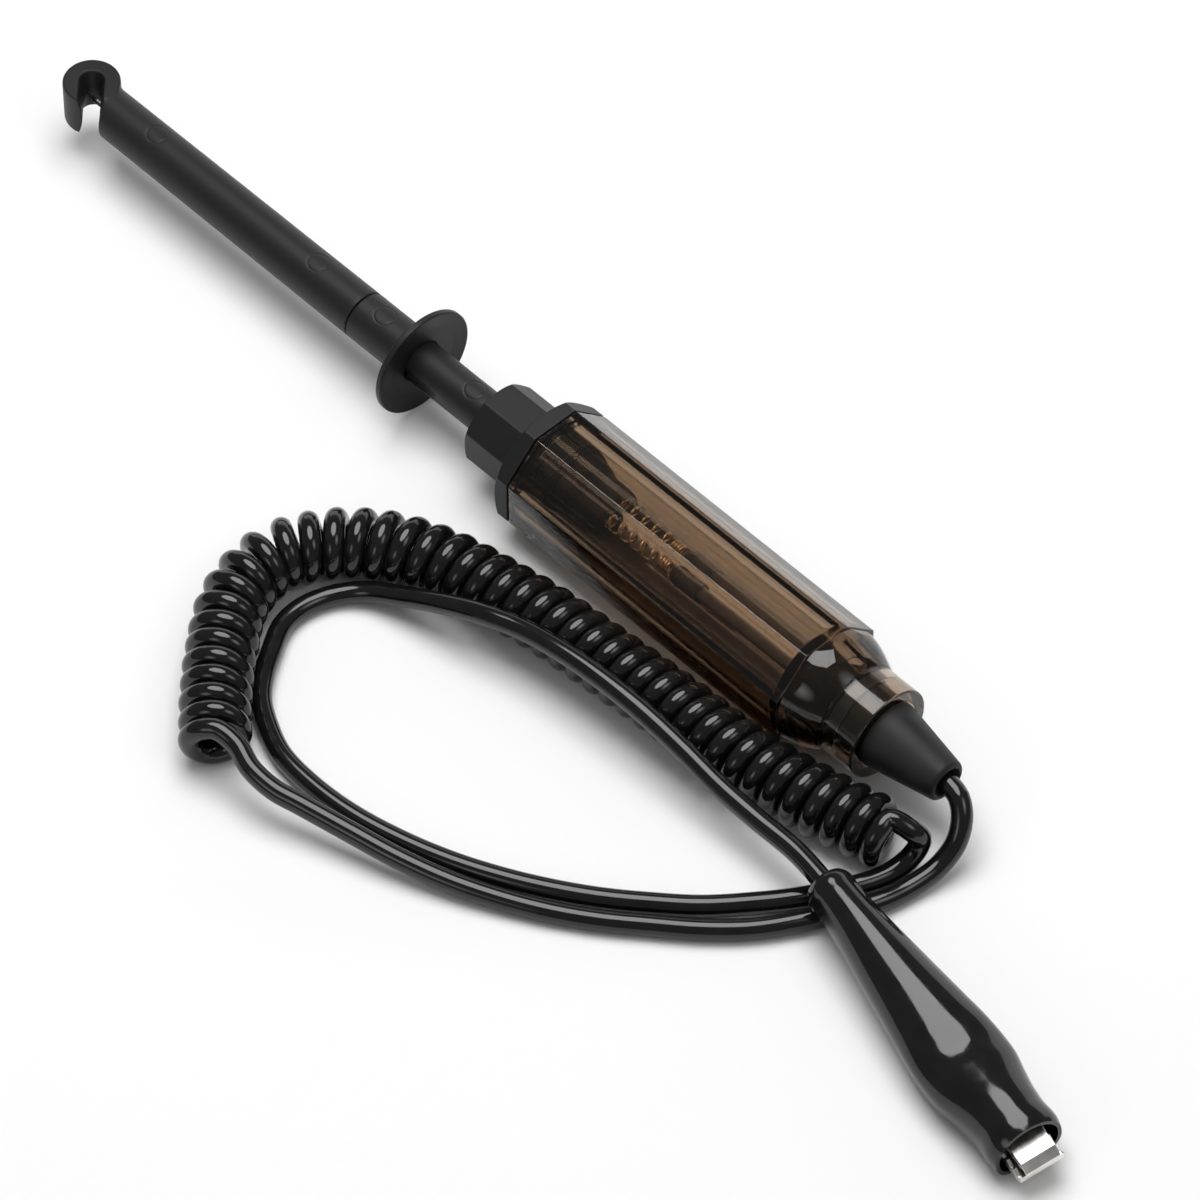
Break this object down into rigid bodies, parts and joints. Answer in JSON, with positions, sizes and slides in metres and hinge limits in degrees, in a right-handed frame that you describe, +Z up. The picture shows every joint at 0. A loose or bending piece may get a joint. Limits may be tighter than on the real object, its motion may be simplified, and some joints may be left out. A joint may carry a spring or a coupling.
{
  "type": "automotive circuit tester",
  "caption": "Hook probe circuit tester: clear octagonal handle with a lamp, a sliding sleeve that draws the needle back, a curly lead and a booted spring clip.",
  "frame": {"origin": "middle of the tester's length and width on the surface it lies on, without its outside lead and clip", "axes": "+X along the tester from the hook to the lead, +Z up, the handle resting on one of its eight flats"},
  "size_m": [0.2845, 0.0965, 0.0228],
  "materials": {
    "black_plastic": "moulded black plastic with a fine satin surface and round ejector pin marks",
    "smoke_plastic": "thick clear smoke brown plastic, polished",
    "black_rubber": "matte black rubber",
    "gloss_black": "glossy soft black vinyl",
    "brass": "plain turned brass",
    "steel": "bright ground steel",
    "nickel": "nickel plated sheet steel",
    "glass": "clear lamp glass"
  },
  "bodies": {
    "handle": {"hook_tube": "black_plastic", "guide_tube": "black_plastic", "front_cap": "black_plastic", "clear_body": "smoke_plastic", "front_contact": "brass", "lamp_cap_front": "nickel", "lamp_glass": "glass", "lamp_cap_rear": "nickel", "contact_spring": "brass", "lead_terminal": "gloss_black", "inner_lead": "gloss_black", "strain_relief": "black_rubber", "return_spring": "steel", "lead_a": "gloss_black", "curly_cord": "gloss_black", "lead_b": "gloss_black", "clip_boot": "gloss_black", "lower_jaw": "nickel", "jaw_pin": "steel", "jaw_spring": "steel"},
    "slider": {"flange_sleeve": "black_plastic", "cross_pin": "steel", "needle_rod": "brass", "needle": "steel"},
    "clip_jaw": {"upper_jaw": "nickel"}
  },
  "joints": [
    {"name": "sleeve_slide", "type": "slide", "parent": "handle", "child": "slider", "axis": [1, 0, 0], "range_m": [0, 0.012], "stiffness_N_per_m": 250, "springref_m": -0.008, "deforming": ["return_spring"]},
    {"name": "jaw_hinge", "type": "hinge", "parent": "handle", "child": "clip_jaw", "pos_m": [0.14508, -0.03561, 0.0073], "axis": [-0.2121, -0.9647, -0.1564], "range_deg": [0, 18], "stiffness_Nm_per_rad": 0.5, "springref_deg": -17.19, "deforming": ["jaw_spring", "clip_boot"]}
  ]
}
